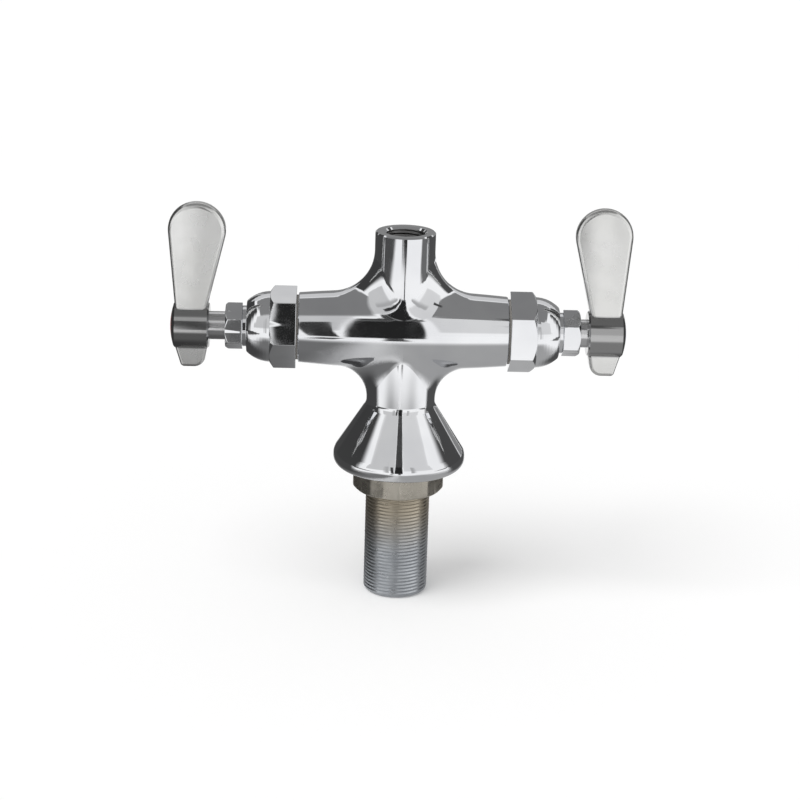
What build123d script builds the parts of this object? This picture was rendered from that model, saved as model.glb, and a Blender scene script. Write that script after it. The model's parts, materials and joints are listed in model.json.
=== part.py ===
from build123d import *
import os
from math import acos, atan2, cos, hypot, radians, tan

# A mixing tap for one hole: a cross-shaped casting with an open outlet socket
# on top, a compression valve in each arm and a paddle lever on each stem.
# Millimetres. Z is up, X runs along the arms, and the origin is the centre of
# the flange's underside, on the shank's axis. Both valves are made once, along
# +X from the centre of the cross, and turned half round for the left arm.

# Column, bell and flange
arm_height = 55.2  # flange underside to the arms' axis
flange_radius = 26.0
flange_wall = 0.5  # straight part of the rim, between its two rounds
flange_lower_round = 3.5
flange_upper_round = 6.0
neck_step = 1.9  # how far the neck's surface lies inside the arms'
neck_round = 4.5  # bell to neck
boss_radius = 11.65
boss_top = 39.1  # above the arms' axis
boss_edge = 0.5  # chamfer round the boss's top

# Arms
arm_reach = 40.5  # centre to the arm's end face
arm_root_radius = 15.4
arm_end_radius = 13.6
arm_edge = 0.3  # chamfer round the arm's end
upper_blend = 17.0  # arm to boss
lower_blend = 13.0  # arm to neck

# Waterways in the casting
outlet_radius = 7.55
outlet_depth = 14.0
outlet_chamfer = 0.8
riser_radius = 6.0
mixing_radius = 7.2
mixing_half_height = 8.0
port_radius = 4.5
seat_thread_radius = 6.5
seat_floor = 11.0  # centre to the bottom of the seat's hole
seat_thread_length = 5.5
chamber_radius = 8.2
way_radius = 3.25
way_offset = 6.5  # each supply way from the shank's axis
way_bend = 32.2  # height at which a way turns outwards
way_reach = 25.5  # how far out it meets the valve chamber
way_rise = 5.0  # below the arms' axis at that point

# Shank, nut and gasket
shank_radius = 12.7
shank_length = 52.8  # below the flange
shank_engagement = 12.0  # up into the casting
shank_chamfer = 0.8
inlet_radius = 4.5
inlet_depth = 12.0
gasket_radius = 20.0
gasket_thickness = 2.0
gasket_recess = 1.5
nut_across_flats = 33.5
nut_corner_radius = 17.9  # its corners are turned round
nut_height = 9.1
nut_chamfer_angle = 30.0

# Bonnet
bonnet_thread_radius = 10.4
bonnet_thread_length = 11.0
bonnet_washer_radius = 12.6
bonnet_washer_thickness = 0.8
hex_across_flats = 27.9
hex_length = 10.1
hex_chamfer_angle = 35.0
dome_length = 9.1
dome_middle_length = 5.0  # hexagon to the place of the middle radius
dome_start_radius = 13.75
dome_middle_radius = 12.65
dome_end_radius = 9.9
bonnet_neck_radius = 7.9
bonnet_neck_length = 1.6
left_hex_turn = 20.0  # degrees that a corner leans back from straight up
right_hex_turn = 3.0

# Packing
packing_thread_radius = 7.0
packing_thread_length = 3.2
packing_washer_thickness = 0.6
packing_nut_across_flats = 16.3
packing_nut_length = 6.6
packing_nut_web = 1.2
packing_nut_crown_angle = 40.0

# Valve seat and the parts that close it
seat_flange_radius = 7.4
seat_flange_thickness = 0.8
seat_lip_radius = 5.2
seat_lip_height = 1.8
seat_hex_across_flats = 7.0
seat_washer_radius = 5.6
seat_washer_thickness = 3.0
washer_screw_radius = 1.75
washer_screw_head_radius = 2.9
washer_screw_head_height = 1.3
washer_screw_slot_width = 0.8
washer_screw_slot_depth = 0.6
washer_screw_length = 7.0
holder_radius = 6.4
holder_cup_depth = 1.7
holder_web = 2.7
swivel_radius = 2.9
swivel_length = 6.5

# Stem
stem_radius = 5.45
stem_nose_radius = 6.2
stem_nose_length = 5.0
stem_thread_radius = 7.0
stem_thread_length = 13.0
stem_thread_room = 4.5  # free thread in the bonnet beyond the closed stem
stem_square = 7.4
stem_square_length = 6.2

# Thread lead of both stems, and how the left valve and its lever stand
thread_lead = 3.175
left_turns_open = 1.0
left_lever_lean = 5.0  # degrees that its top leans to the front

# Lever handle
handle_gap = 3.1  # packing nut to hub, valve closed
hub_radius = 8.9
hub_length = 15.1
hub_dome = 1.3
hub_edge = 0.6
hub_counterbore_depth = 3.0
hub_web = 1.4
button_radius = 5.6
button_thickness = 1.8
handle_screw_radius = 2.0
handle_screw_head_radius = 3.9
handle_screw_head_height = 2.2
handle_screw_length = 10.0
handle_screw_slot_width = 1.0
handle_screw_slot_depth = 1.0
lever_length = 49.8  # hub axis to tip
lever_tip_radius = 11.05
lever_root_width = 9.8  # outline's width where it would cross the hub axis
lever_lean = 0.075  # inward, per unit of height
lever_root_thickness = 9.4
lever_tip_thickness = 5.2
lever_crown = 0.9  # fall of each broad face from its middle line to its side
lever_edge_round = 1.8
tail_length = 16.3  # hub axis to the tail's end
tail_taper_start = 8.0  # hub axis to where the tail starts to taper
tail_root_out = 5.7  # reach at the hub, away from the body
tail_root_in = 6.9  # and towards it
tail_tip_out = 3.3
tail_tip_in = 5.4
tail_thickness = 7.6
tail_inner_round = 4.5
tail_outer_round = 1.6
tail_edge_round = 1.4

# Clearances
thread_clearance = 0.05
running_clearance = 0.05
seal_clearance = 0.02
end_clearance = 0.3  # between ends that never touch
closed_clearance = 0.02  # seat washer to seat lip, valve shut
swivel_end_clearance = 0.05
square_clearance = 0.02

# The neck and where its cylinder starts, straight above the bell's round
neck_radius = arm_root_radius - neck_step
neck_start = arm_height - max(arm_root_radius, arm_end_radius) - lower_blend

# Stations along the arm, from the centre of the cross, valve closed
chamber_start = seat_floor + seat_thread_length
seat_lip = chamber_start + seat_lip_height
washer_face = seat_lip + closed_clearance
holder_floor = washer_face + seat_washer_thickness
holder_end = holder_floor + holder_web
stem_start = holder_end + swivel_end_clearance
stem_thread_start = stem_start + stem_nose_length
stem_thread_end = stem_thread_start + stem_thread_length
bonnet_start = arm_reach - bonnet_thread_length
hex_start = arm_reach + bonnet_washer_thickness
hex_end = hex_start + hex_length
dome_end = hex_end + dome_length
neck_end = dome_end + bonnet_neck_length
bonnet_end = neck_end + packing_thread_length
packing_start = bonnet_end + packing_washer_thickness
packing_nut_end = neck_end + packing_nut_length
packing_end = packing_nut_end - packing_nut_web
handle_start = packing_nut_end + handle_gap
square_start = handle_start + hub_counterbore_depth
stem_end = square_start + stem_square_length
hub_web_start = stem_end + end_clearance
hub_recess = hub_web_start + hub_web
hub_end = handle_start + hub_length
hub_middle = handle_start + hub_length / 2
button_start = hub_end - button_thickness


def turned(axis, outline):
    """A solid of revolution from an outline of (along the arm, radius) or (radius, height)."""
    return revolve(Plane.XZ * make_face(outline), axis)


def lathed(axis, *corners):
    """The same from straight lines between corners."""
    return turned(axis, Polyline(*corners, close=True))


def along_arm(section, start, end):
    """A section pushed along the arm's axis between two stations."""
    return Pos(start, 0, 0) * Rot(0, 90, 0) * extrude(section, end - start)


def rod(start, end, radius):
    """A round bar, or a bore, on the arm's axis."""
    return along_arm(Circle(radius), start, end)


def hexagon(across_flats):
    """A hexagon with flats to the front and back once it lies along the arm."""
    return RegularPolygon(across_flats / 2, 6, major_radius=False)


def nut_blank(start, end, across_flats, angle, both_ends, corner=None):
    """A hexagonal bar with its corners turned off at the end, or at both ends."""
    flat = across_flats / 2
    corner = corner or flat / cos(radians(30))
    slope = (corner - flat) * tan(radians(angle))
    near = [(start, 0), (start, flat), (start + slope, corner)]
    if not both_ends:
        near = [(start, 0), (start, corner)]
    lathe = lathed(Axis.X, *near, (end - slope, corner), (end, flat), (end, 0))
    return along_arm(hexagon(across_flats), start, end) & lathe


def slotted(screw, head_start, depth, width, head_radius):
    """A screw with a driver slot across its head, the slot's floor at depth from head_start."""
    slot = Box(abs(depth), 2 * head_radius, width)
    return screw - Pos(head_start + depth / 2, 0, 0) * slot


def bell_lean():
    """The bell's lean from upright, in radians, where its side runs from one round into the other."""
    across = neck_radius + neck_round - (flange_radius - flange_upper_round)
    up = neck_start - (flange_lower_round + flange_wall)
    rounds = flange_upper_round + neck_round
    return atan2(up, across) - acos(rounds / hypot(up, across))


def column_quarter():
    """Flange, bell, neck and boss, as the front right quarter of the turned column."""
    half_turn = tan(bell_lean() / 2)
    bell = FilletPolyline(
        (0, 0),
        (flange_radius, 0),
        (flange_radius, flange_lower_round + flange_wall + flange_upper_round * half_turn),
        (neck_radius, neck_start - neck_round * half_turn),
        (neck_radius, arm_height),
        radius=[flange_lower_round, flange_upper_round, neck_round],
    )
    boss = Polyline(
        (neck_radius, arm_height),
        (boss_radius, arm_height),
        (boss_radius, arm_height + boss_top - boss_edge),
        (boss_radius - boss_edge, arm_height + boss_top),
        (0, arm_height + boss_top),
        (0, 0),
    )
    return revolve(Plane.XZ * make_face(bell + boss), Axis.Z, -90)


def arm_half():
    """The front half of the right arm, which thins a little towards its end."""
    shoulder = (arm_reach - arm_edge, arm_end_radius)
    crown = TangentArc((0, arm_root_radius), shoulder, tangent=(1, 0))
    rest = Polyline(
        shoulder,
        (arm_reach, arm_end_radius - arm_edge),
        (arm_reach, 0),
        (0, 0),
        (0, arm_root_radius),
    )
    return Pos(0, 0, arm_height) * revolve(Plane.XZ * make_face(crown + rest), Axis.X, 180)


def crossing_edge(shape, above):
    """The edge where the arm meets the boss above its axis, or the neck below it."""
    side = 1 if above else -1
    curves = shape.edges().filter_by(GeomType.BSPLINE)
    curves = [e for e in curves if side * (e.center().Z - arm_height) > 0]
    return max(curves, key=lambda e: e.length)


def cross_blank():
    """The casting's outside: a quarter is blended, then mirrored twice."""
    quarter = column_quarter() + arm_half()
    below = crossing_edge(quarter, above=False).center()
    quarter = fillet(crossing_edge(quarter, above=True), upper_blend)
    lower_edge = min(quarter.edges(), key=lambda e: (e.center() - below).length)
    quarter = fillet(lower_edge, lower_blend)
    half = quarter + mirror(quarter, Plane.YZ)
    return half + mirror(half, Plane.XZ)


def outlet_bore():
    """Threaded socket on top, riser and mixing chamber."""
    top = arm_height + boss_top
    chamber_top = arm_height + mixing_half_height
    return lathed(
        Axis.Z,
        (0, arm_height - mixing_half_height),
        (mixing_radius, arm_height - mixing_half_height),
        (mixing_radius, chamber_top),
        (riser_radius, chamber_top + mixing_radius - riser_radius),
        (riser_radius, top - outlet_depth),
        (outlet_radius, top - outlet_depth),
        (outlet_radius, top - outlet_chamfer),
        (outlet_radius + outlet_chamfer, top),
        (0, top),
    )


def valve_bore():
    """Port, seat hole, valve chamber and bonnet hole, bored from the arm's end."""
    port = rod(0, seat_floor, port_radius)
    seat_hole = rod(seat_floor, chamber_start, seat_thread_radius)
    chamber = rod(chamber_start, bonnet_start, chamber_radius)
    bonnet_hole = rod(bonnet_start - end_clearance, arm_reach, bonnet_thread_radius + thread_clearance)
    return port + seat_hole + chamber + bonnet_hole


def supply_way():
    """One way from the shank, up the column and out under the valve chamber."""
    route = Polyline(
        (way_offset, 0, 0),
        (way_offset, 0, way_bend),
        (way_reach, 0, arm_height - way_rise),
    )
    return sweep(Pos(way_offset, 0) * Circle(way_radius), route, transition=Transition.RIGHT)


def body_casting():
    """The cross with its outlet, valve bores, supply ways and the shank's socket."""
    casting = cross_blank() - outlet_bore()
    for place in (on_right, on_left):
        casting -= place(valve_bore())
    for turn in (0, 180):
        casting -= Rot(0, 0, turn) * supply_way()
    casting -= extrude(Circle(shank_radius + thread_clearance), shank_engagement)
    casting -= extrude(Circle(gasket_radius + thread_clearance), gasket_recess)
    return casting


def shank():
    """The threaded tail below the deck, with an inlet and a way for each supply."""
    bar = Pos(0, 0, -shank_length) * extrude(Circle(shank_radius), shank_length + shank_engagement)
    ends = bar.edges().filter_by(GeomType.CIRCLE).group_by(Axis.Z)
    bar = chamfer(ends[0], shank_chamfer)
    for side in (-1, 1):
        foot = Pos(side * way_offset, 0, -shank_length)
        bar -= foot * extrude(Circle(inlet_radius), inlet_depth)
        bar -= foot * extrude(Circle(way_radius), shank_length + shank_engagement)
    return bar


def base_gasket():
    """A flat ring in the flange's recess, standing a little proud of the flange."""
    ring = Circle(gasket_radius) - Circle(shank_radius + end_clearance)
    return Pos(0, 0, gasket_recess - gasket_thickness) * extrude(ring, gasket_thickness)


def lock_nut():
    """The hexagon nut run up the shank until it meets the gasket."""
    top = gasket_thickness - gasket_recess
    nut = nut_blank(
        top,
        top + nut_height,
        nut_across_flats,
        nut_chamfer_angle,
        both_ends=True,
        corner=nut_corner_radius,
    )
    nut -= rod(top, top + nut_height, shank_radius + thread_clearance)
    return Rot(0, 90, 0) * nut


def seat():
    """The screwed-in seat: a flange, a raised lip and a hexagonal hole for its key."""
    blank = lathed(
        Axis.X,
        (seat_floor, 0),
        (seat_floor, seat_thread_radius - thread_clearance),
        (chamber_start, seat_thread_radius - thread_clearance),
        (chamber_start, seat_flange_radius),
        (chamber_start + seat_flange_thickness, seat_flange_radius),
        (seat_lip, seat_lip_radius),
        (seat_lip, 0),
    )
    return blank - along_arm(hexagon(seat_hex_across_flats), seat_floor, seat_lip)


def bonnet_washer():
    """A flat ring between the arm's end and the bonnet's hexagon."""
    ring = Circle(bonnet_washer_radius) - Circle(bonnet_thread_radius + thread_clearance)
    return along_arm(ring, arm_reach, hex_start)


def bonnet():
    """Screwed tail, hexagon, dome, neck and the thread for the packing nut."""
    dome_middle = (hex_end + dome_middle_length, dome_middle_radius)
    dome = ThreePointArc((hex_end, dome_start_radius), dome_middle, (dome_end, dome_end_radius))
    before = Polyline(
        (bonnet_start, 0),
        (bonnet_start, bonnet_thread_radius),
        (hex_start, bonnet_thread_radius),
        (hex_start, dome_start_radius),
        (hex_end, dome_start_radius),
    )
    after = Polyline(
        (dome_end, dome_end_radius),
        (dome_end, bonnet_neck_radius),
        (neck_end, bonnet_neck_radius),
        (neck_end, packing_thread_radius),
        (bonnet_end, packing_thread_radius),
        (bonnet_end, 0),
        (bonnet_start, 0),
    )
    blank = turned(Axis.X, before + dome + after)
    blank += nut_blank(hex_start, hex_end, hex_across_flats, hex_chamfer_angle, both_ends=False)
    thread_end = stem_thread_end + stem_thread_room
    blank -= rod(bonnet_start, thread_end, stem_thread_radius + running_clearance)
    return blank - rod(thread_end, bonnet_end, stem_radius + running_clearance)


def packing_ring(start, end):
    """A ring that fills the packing nut's bore round the stem."""
    ring = Circle(packing_thread_radius) - Circle(stem_radius + seal_clearance)
    return along_arm(ring, start, end)


def packing_nut():
    """The small hexagon that presses the packing down, crowned towards the handle."""
    nut = nut_blank(
        neck_end,
        packing_nut_end,
        packing_nut_across_flats,
        packing_nut_crown_angle,
        both_ends=False,
    )
    nut -= rod(neck_end, packing_end, packing_thread_radius + thread_clearance)
    return nut - rod(packing_end, packing_nut_end, stem_radius + running_clearance)


def disc_holder():
    """The cup that carries the seat washer and swivels in the stem's end."""
    cup = rod(holder_floor - holder_cup_depth, holder_end, holder_radius)
    cup -= rod(holder_floor - holder_cup_depth, holder_floor, seat_washer_radius + seal_clearance)
    spigot = rod(holder_end, holder_end + swivel_length, swivel_radius)
    screw_hole = rod(holder_floor, washer_face + washer_screw_length + end_clearance, washer_screw_radius)
    return cup + spigot - screw_hole


def seat_washer():
    """The soft ring that closes on the seat's lip."""
    ring = Circle(seat_washer_radius) - Circle(washer_screw_radius + seal_clearance)
    return along_arm(ring, washer_face, holder_floor)


def washer_screw():
    """The slotted screw that holds the seat washer in its cup."""
    head_start = washer_face - washer_screw_head_height
    head = rod(head_start, washer_face, washer_screw_head_radius)
    screw = head + rod(washer_face, washer_face + washer_screw_length, washer_screw_radius)
    depth = washer_screw_slot_depth
    return slotted(screw, head_start, depth, washer_screw_slot_width, washer_screw_head_radius)


def stem():
    """Nose, screw thread, round shaft and the square that drives it."""
    blank = rod(stem_start, stem_thread_start, stem_nose_radius)
    blank += rod(stem_thread_start, stem_thread_end, stem_thread_radius)
    blank += rod(stem_thread_end, square_start, stem_radius)
    blank += along_arm(Rectangle(stem_square, stem_square), square_start, stem_end)
    swivel_end = holder_end + swivel_length + end_clearance
    blank -= rod(stem_start, swivel_end, swivel_radius + running_clearance)
    screw_end = hub_recess - handle_screw_length - end_clearance
    return blank - rod(screw_end, stem_end, handle_screw_radius)


def hub_blank():
    """The handle's round hub, with a low dome at its outer end."""
    shoulder = (hub_end - hub_dome, hub_radius - hub_edge)
    dome = TangentArc((hub_end, 0), shoulder, tangent=(0, 1))
    rest = Polyline(
        shoulder,
        (hub_end - hub_dome - hub_edge, hub_radius),
        (handle_start + hub_edge, hub_radius),
        (handle_start, hub_radius - hub_edge),
        (handle_start, 0),
        (hub_end, 0),
    )
    return turned(Axis.X, dome + rest)


def plate(outline, thickness):
    """An outline drawn over the arm's axis, made thick to the front and back."""
    return extrude(Plane.XZ * outline, thickness / 2, both=True)


def broad_faces(blade):
    """The front and the back of a flat piece."""
    by_depth = blade.faces().sort_by(Axis.Y)
    return by_depth[0], by_depth[-1]


def lens(thickness, height):
    """A level section through the paddle's faces, which are highest along its middle line."""
    reach = lever_tip_radius + lever_edge_round
    middle = thickness / 2
    side = middle - lever_crown
    front = ThreePointArc((-reach, -side), (0, -middle), (reach, -side))
    back = ThreePointArc((reach, side), (0, middle), (-reach, side))
    ends = Line((reach, -side), (reach, side)) + Line((-reach, side), (-reach, -side))
    return Pos(hub_middle - lever_lean * height, 0, height) * make_face(front + back + ends)


def lever():
    """The paddle: a tapered outline with a round tip and crowned faces, thinned towards the tip."""
    tip_height = lever_length - lever_tip_radius
    tip = Pos(-lever_lean * tip_height, tip_height) * Circle(lever_tip_radius)
    root = Line((-lever_root_width / 2, 0), (lever_root_width / 2, 0))
    outline = Pos(hub_middle, 0) * make_hull([root, *tip.edges()])
    sections = [lens(lever_root_thickness, 0), lens(lever_tip_thickness, lever_length)]
    paddle = plate(outline, lever_root_thickness) & loft(sections, ruled=True)
    rims = [e for f in broad_faces(paddle) for e in f.edges().sort_by(Axis.Z)[1:]]
    return fillet(rims, lever_edge_round)


def tail():
    """The short stub below the hub, cut slantwise on its outer side."""
    outline = FilletPolyline(
        (hub_middle - tail_root_in, 0),
        (hub_middle - tail_root_in, -tail_taper_start),
        (hub_middle - tail_tip_in, -tail_length),
        (hub_middle + tail_tip_out, -tail_length),
        (hub_middle + tail_root_out, -tail_taper_start),
        (hub_middle + tail_root_out, 0),
        radius=[tail_outer_round, tail_inner_round, tail_outer_round, tail_outer_round],
        close=False,
    )
    top = Line((hub_middle + tail_root_out, 0), (hub_middle - tail_root_in, 0))
    stub = plate(make_face(outline + top), tail_thickness)
    rims = [e for f in broad_faces(stub) for e in f.edges().sort_by(Axis.Z)[:-1]]
    return fillet(rims, tail_edge_round)


def lever_handle():
    """Hub, paddle and tail in one casting, bored for the stem, its screw and the button."""
    handle = hub_blank() + lever() + tail()
    handle -= rod(handle_start, square_start, stem_radius + running_clearance)
    socket = stem_square + 2 * square_clearance
    handle -= along_arm(Rectangle(socket, socket), square_start, hub_web_start)
    handle -= rod(hub_web_start, hub_recess, handle_screw_radius + running_clearance)
    return handle - rod(hub_recess, hub_end, button_radius + seal_clearance)


def handle_screw():
    """The slotted screw that draws the handle onto the stem."""
    head_end = hub_recess + handle_screw_head_height
    screw = rod(hub_recess, head_end, handle_screw_head_radius)
    screw += rod(hub_recess - handle_screw_length, hub_recess, handle_screw_radius)
    depth = -handle_screw_slot_depth
    return slotted(screw, head_end, depth, handle_screw_slot_width, handle_screw_head_radius)


def index_button():
    """The plain coloured disc that closes the hub, flush with its dome."""
    return rod(button_start, hub_end, button_radius) & hub_blank()


def on_right(shape):
    """Puts a piece made along +X onto the right arm."""
    return Pos(0, 0, arm_height) * shape


def on_left(shape):
    """The same half a turn round, on the left arm."""
    return Pos(0, 0, arm_height) * Rot(0, 0, 180) * shape


fixed_valve_parts = {
    "seat": seat(),
    "bonnet_washer": bonnet_washer(),
    "packing_washer": packing_ring(bonnet_end, packing_start),
    "packing_ring": packing_ring(packing_start, packing_end),
    "packing_nut": packing_nut(),
}
moving_valve_parts = {
    "disc_holder": disc_holder(),
    "seat_washer": seat_washer(),
    "washer_screw": washer_screw(),
    "stem": stem(),
    "lever_handle": lever_handle(),
    "handle_screw": handle_screw(),
    "index_button": index_button(),
}
left_opening = Pos(thread_lead * left_turns_open, 0, 0) * Rot(-left_lever_lean, 0, 0)

pieces = {
    "body_casting": body_casting(),
    "shank": shank(),
    "base_gasket": base_gasket(),
    "lock_nut": lock_nut(),
    "right_bonnet": on_right(Rot(-right_hex_turn, 0, 0) * bonnet()),
    "left_bonnet": on_left(Rot(left_hex_turn, 0, 0) * bonnet()),
}
for name, shape in fixed_valve_parts.items():
    pieces["right_" + name] = on_right(shape)
    pieces["left_" + name] = on_left(shape)
for name, shape in moving_valve_parts.items():
    pieces["right_" + name] = on_right(shape)
    pieces["left_" + name] = on_left(left_opening * shape)

os.makedirs("parts", exist_ok=True)
for name, shape in pieces.items():
    export_step(shape, f"parts/{name}.step")
    size = shape.bounding_box().size
    print(f"{name}: {shape.volume:.0f} mm3, {size.X:.1f} x {size.Y:.1f} x {size.Z:.1f} mm")
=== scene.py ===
# %% [markdown]
# # A mixing tap for one hole, dressed in chrome
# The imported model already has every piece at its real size: a cross-shaped casting, a screw valve and a
# lever on each side, a threaded shank and its nut. This lesson gives them their finish, makes again the
# few pieces whose look needs edges or threads that a plain solid lacks, and sets up a small photo studio.
# Chrome has hardly any look of its own. It shows the room, so a good part of the lesson is about the room.

# %% Load the model as a fixed frame
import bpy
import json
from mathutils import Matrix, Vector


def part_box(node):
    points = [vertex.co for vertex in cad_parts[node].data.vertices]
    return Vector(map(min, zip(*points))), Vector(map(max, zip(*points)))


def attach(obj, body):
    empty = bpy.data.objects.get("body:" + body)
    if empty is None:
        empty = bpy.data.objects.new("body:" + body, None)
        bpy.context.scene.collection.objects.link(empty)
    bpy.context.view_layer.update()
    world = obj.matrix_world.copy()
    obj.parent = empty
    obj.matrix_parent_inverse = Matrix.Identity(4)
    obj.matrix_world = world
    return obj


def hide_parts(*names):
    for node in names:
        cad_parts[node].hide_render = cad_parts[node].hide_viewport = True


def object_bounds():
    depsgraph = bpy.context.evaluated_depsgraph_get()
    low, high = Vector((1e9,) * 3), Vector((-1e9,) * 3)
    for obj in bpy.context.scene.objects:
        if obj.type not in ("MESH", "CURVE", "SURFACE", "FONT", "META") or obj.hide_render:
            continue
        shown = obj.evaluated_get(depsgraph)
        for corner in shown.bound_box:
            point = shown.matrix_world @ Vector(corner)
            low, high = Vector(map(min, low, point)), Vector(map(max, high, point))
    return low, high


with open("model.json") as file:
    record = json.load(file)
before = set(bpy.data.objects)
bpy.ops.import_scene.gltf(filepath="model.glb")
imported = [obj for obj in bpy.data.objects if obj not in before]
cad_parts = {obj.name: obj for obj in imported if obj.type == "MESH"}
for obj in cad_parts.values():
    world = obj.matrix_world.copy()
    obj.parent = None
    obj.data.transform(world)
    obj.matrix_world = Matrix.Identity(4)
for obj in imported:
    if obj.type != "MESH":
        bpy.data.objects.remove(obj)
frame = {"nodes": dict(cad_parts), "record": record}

cad_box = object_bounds()

# %% Libraries and units
import json
from math import atan, atan2, cos, hypot, pi, radians, sin, sqrt, tan

import bmesh
import bpy
import numpy as np
from mathutils import Quaternion, Vector

MM = 0.001  # the scene is in metres, and sizes are written in millimetres
scene = bpy.context.scene
size = (cad_box[1] - cad_box[0]) / MM
print(f"the model's box: {size.x:.1f} x {size.y:.1f} x {size.z:.1f} mm")

# %% [markdown]
# ## Helpers for materials
# Colours are easiest to pick as the hex values that a screen shows, but a renderer adds up light, so each
# one is turned to linear values by one function. A node tree is built with one small function too, which
# adds a node, sets its options and its inputs, and links what feeds it.

# %% Colours and nodes
def linear(hex_colour):
    """An sRGB hex colour as linear red, green, blue and alpha."""
    parts = [int(hex_colour[i:i + 2], 16) / 255 for i in (1, 3, 5)]
    return [c / 12.92 if c <= 0.04045 else ((c + 0.055) / 1.055) ** 2.4 for c in parts] + [1.0]


def add(tree, kind, values=None, links=None, **settings):
    """Adds a node with its settings, the values of its inputs and the sockets linked to them."""
    node = tree.nodes.new(kind)
    for name, value in settings.items():
        setattr(node, name, value)
    for name, value in (values or {}).items():
        node.inputs[name].default_value = value
    for name, socket in (links or {}).items():
        tree.links.new(socket, node.inputs[name])
    return node


print("mid grey #808080 is", round(linear("#808080")[0], 3), "in linear light")

# %% [markdown]
# Every finish here is built from the same few patterns: noise of a real size, a change from one value to
# another along it, two tones mixed by it, and a slight relief. They read Object coordinates, which for
# these pieces are the model's own coordinates in metres, so a pattern keeps its true size on each piece.

# %% Patterns
def start_material(name, metallic, roughness):
    """A material with a Principled shader, and the object coordinates that its patterns read."""
    material = bpy.data.materials.new(name)
    material.use_nodes = True
    tree = material.node_tree
    shader = tree.nodes["Principled BSDF"]
    shader.inputs["Metallic"].default_value = metallic
    shader.inputs["Roughness"].default_value = roughness
    place = add(tree, "ShaderNodeTexCoord").outputs["Object"]
    return material, tree, shader, place


def speckle(tree, place, size_mm, detail=2.0, stretch=(1, 1, 1)):
    """Noise whose patches are about size_mm across, drawn out along the axes where stretch is small."""
    scaled = add(tree, "ShaderNodeMapping", {"Scale": stretch}, {"Vector": place})
    values = {"Scale": 1 / (size_mm * MM), "Detail": detail, "Roughness": 0.55}
    return add(tree, "ShaderNodeTexNoise", values, {"Vector": scaled.outputs[0]}).outputs["Fac"]


def spread(tree, source, low, high, start=0.3, end=0.7):
    """Turns a value between start and end smoothly into one between low and high."""
    values = {"From Min": start, "From Max": end, "To Min": low, "To Max": high}
    ranged = add(tree, "ShaderNodeMapRange", values, {"Value": source}, interpolation_type="SMOOTHSTEP")
    return ranged.outputs[0]


def two_tone(tree, factor, colour_a, colour_b):
    """Two colours, hex values or sockets, mixed by a factor."""
    mix = add(tree, "ShaderNodeMix", links={0: factor}, data_type="RGBA")
    for socket, colour in ((mix.inputs[6], colour_a), (mix.inputs[7], colour_b)):
        if isinstance(colour, str):
            socket.default_value = linear(colour)
        else:
            tree.links.new(colour, socket)
    return mix.outputs[2]


def relief(tree, shader, height, depth_mm):
    """A bump of depth_mm between the height's 0 and 1."""
    values = {"Strength": 1.0, "Distance": depth_mm * MM}
    bump = add(tree, "ShaderNodeBump", values, {"Height": height})
    tree.links.new(bump.outputs[0], shader.inputs["Normal"])


print("noise with 6 mm patches has a scale of", round(1 / (6 * MM), 1), "per metre")

# %% [markdown]
# ## Chrome plate
# The casting and the bonnets are brass, ground and buffed by hand, then plated with nickel and a very thin
# layer of chromium. Buffing leaves the surface bright but not dead flat: it waves a little over 10 mm or
# so, and its gloss changes where the wheel pressed harder. A single roughness value would look like a
# computer's chrome. So one noise shifts the tone over patches of 18 mm, a finer one shifts the roughness,
# and a bump of a fiftieth of a millimetre or less gives the waves.

# %% The four chromes
def chrome_plate(name, colour_a, colour_b, gloss, wave_mm, wave_depth_mm):
    """Bright plate: two near greys, roughness between the two gloss values, and long shallow waves."""
    material, tree, shader, place = start_material(name, 1.0, gloss[0])
    tone = spread(tree, speckle(tree, place, size_mm=18), 0, 1)
    tree.links.new(two_tone(tree, tone, colour_a, colour_b), shader.inputs["Base Color"])
    haze = speckle(tree, place, size_mm=6, detail=1.0)
    tree.links.new(spread(tree, haze, *gloss), shader.inputs["Roughness"])
    relief(tree, shader, speckle(tree, place, wave_mm, detail=0.0), wave_depth_mm)
    return material


# Buffed to a mirror: the room shows in it with crisp edges.
chrome_body = chrome_plate("Chrome_plate_buffed_brass", "#F0F1F3", "#E6E7EA", gloss=(0.03, 0.07),
                           wave_mm=9, wave_depth_mm=0.02)
# Cast, tumbled and plated: a pale satin sheen, in which nothing of the room can be made out.
chrome_lever = chrome_plate("Chrome_plate_cast_lever", "#ECECEB", "#E6E6E4", gloss=(0.24, 0.28),
                            wave_mm=14, wave_depth_mm=0.01)
# Turned, polished in the lathe and plated: bright bands with soft edges.
chrome_stem = chrome_plate("Chrome_plate_turned_stem", "#E0E0E1", "#D4D4D6", gloss=(0.12, 0.2),
                           wave_mm=3, wave_depth_mm=0.01)
# Inside the outlet the plating bath hardly reaches: the plate is thin and dull. Its darker colour is partly
# that thin plate and partly painted shade for the deep grooves between the thread's ridges.
thread_chrome_with_painted_shade = chrome_plate("Chrome_plate_in_thread", "#8C8C8C", "#7C7C7C", gloss=(0.32, 0.4),
                             wave_mm=3, wave_depth_mm=0.01)
print("chrome materials:", chrome_body.name, chrome_lever.name, chrome_stem.name, thread_chrome_with_painted_shade.name)

# %% [markdown]
# The lever's hub is turned and buffed after casting, while its paddle and its tail are only tumbled. So
# the hub mirrors more sharply, and the paddle stays satin. The hub's colour is also painted darker: that is
# painted shade, standing in for the dark room that the hub mirrors. Hub and paddle are one piece, and its
# material tells them apart by the distance from the stem's axis.

# %% The turned hub on the cast lever
arm_axis = (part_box("right_stem")[0].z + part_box("right_stem")[1].z) / 2 / MM
hub_radius = 9.3
hub_blend = 0.2


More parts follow.
